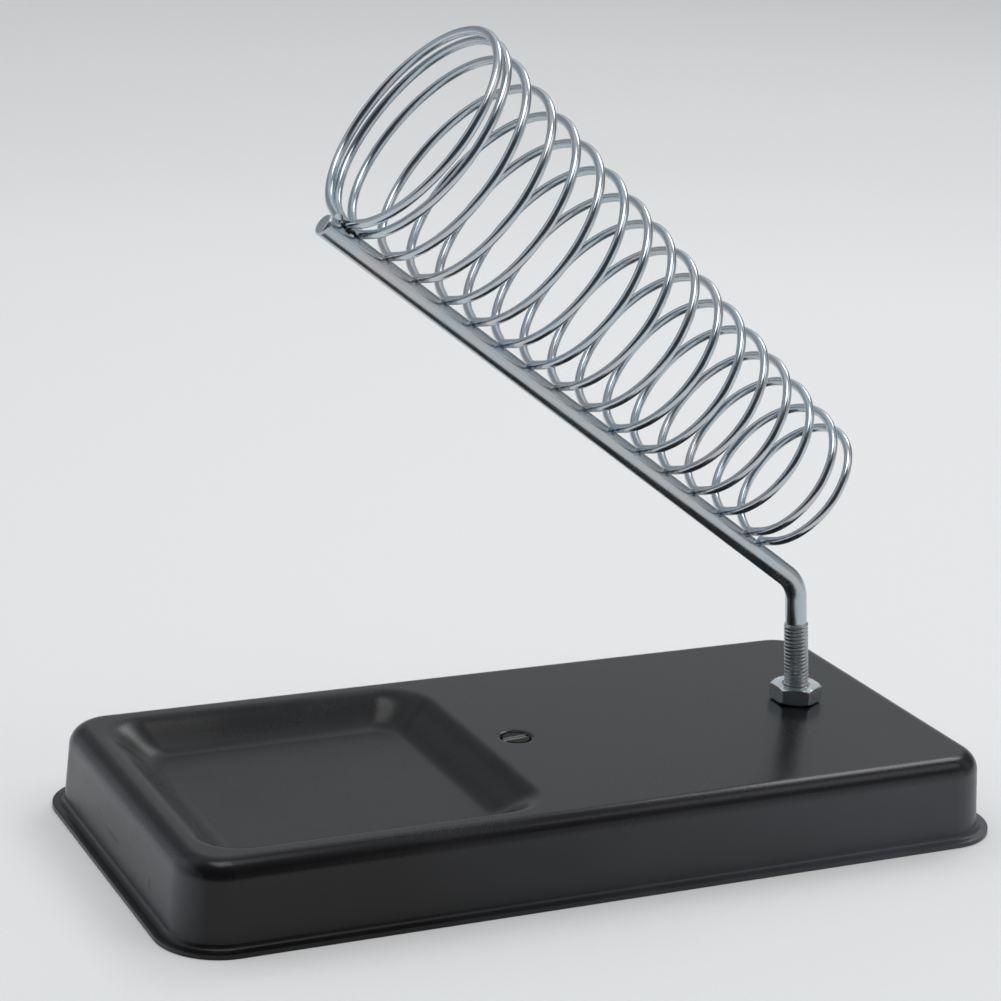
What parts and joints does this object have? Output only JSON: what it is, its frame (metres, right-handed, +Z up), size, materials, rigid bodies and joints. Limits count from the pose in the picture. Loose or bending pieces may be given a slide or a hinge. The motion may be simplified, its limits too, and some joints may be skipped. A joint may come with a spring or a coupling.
{
  "type": "soldering iron stand",
  "caption": "Benchtop rest for a soldering iron: black pressed-steel base with a sponge tray, and a slanted conical wire coil welded on a bent rod that swivels on its nut-clamped leg.",
  "frame": {"origin": "centre of the base's footprint, on the surface it stands on", "axes": "+X from the sponge tray to the rod's leg, along the base; +Y to the back; +Z up"},
  "size_m": [0.1744, 0.0856, 0.1561],
  "materials": {
    "black_enamel": "semi-gloss black baked enamel on pressed steel, slightly uneven, fine dust",
    "zinc_rod": "bright zinc plate with a faint blue tint, fine drawing lines along the rod",
    "zinc_wire": "bright blue-white zinc plate on round wire, glossy, darker at the welds",
    "zinc_hardware": "bright zinc plate, slightly duller on the wrench flats",
    "ballast_steel": "plain hot-rolled steel, oiled",
    "blackened_screw": "black oxide, worn pale on the slot's edges"
  },
  "bodies": {
    "base": {"base_shell": "black_enamel", "ballast_plate": "ballast_steel", "ballast_screw": "blackened_screw", "ballast_washer": "zinc_hardware", "ballast_nut": "zinc_hardware", "leg_washer": "zinc_hardware", "leg_spring_washer": "zinc_hardware"},
    "holder": {"holder_arm": "zinc_rod", "iron_coil": "zinc_wire"},
    "upper_nut": {"upper_lock_nut": "zinc_hardware"},
    "lower_nut": {"lower_lock_nut": "zinc_hardware"}
  },
  "joints": [
    {"name": "holder_swivel", "type": "hinge", "parent": "base", "child": "holder", "pos_m": [0.0622, 0.00195, 0.0167], "axis": [0, 0, 1], "continuous": true},
    {"name": "upper_nut_turn", "type": "hinge", "parent": "holder", "child": "upper_nut", "pos_m": [0.0622, 0.00195, 0.0186], "axis": [0, 0, 1], "range_deg": [0, 360]},
    {"name": "lower_nut_turn", "type": "hinge", "parent": "holder", "child": "lower_nut", "pos_m": [0.0622, 0.00195, 0.0078], "axis": [0, 0, -1], "range_deg": [0, 360]}
  ]
}
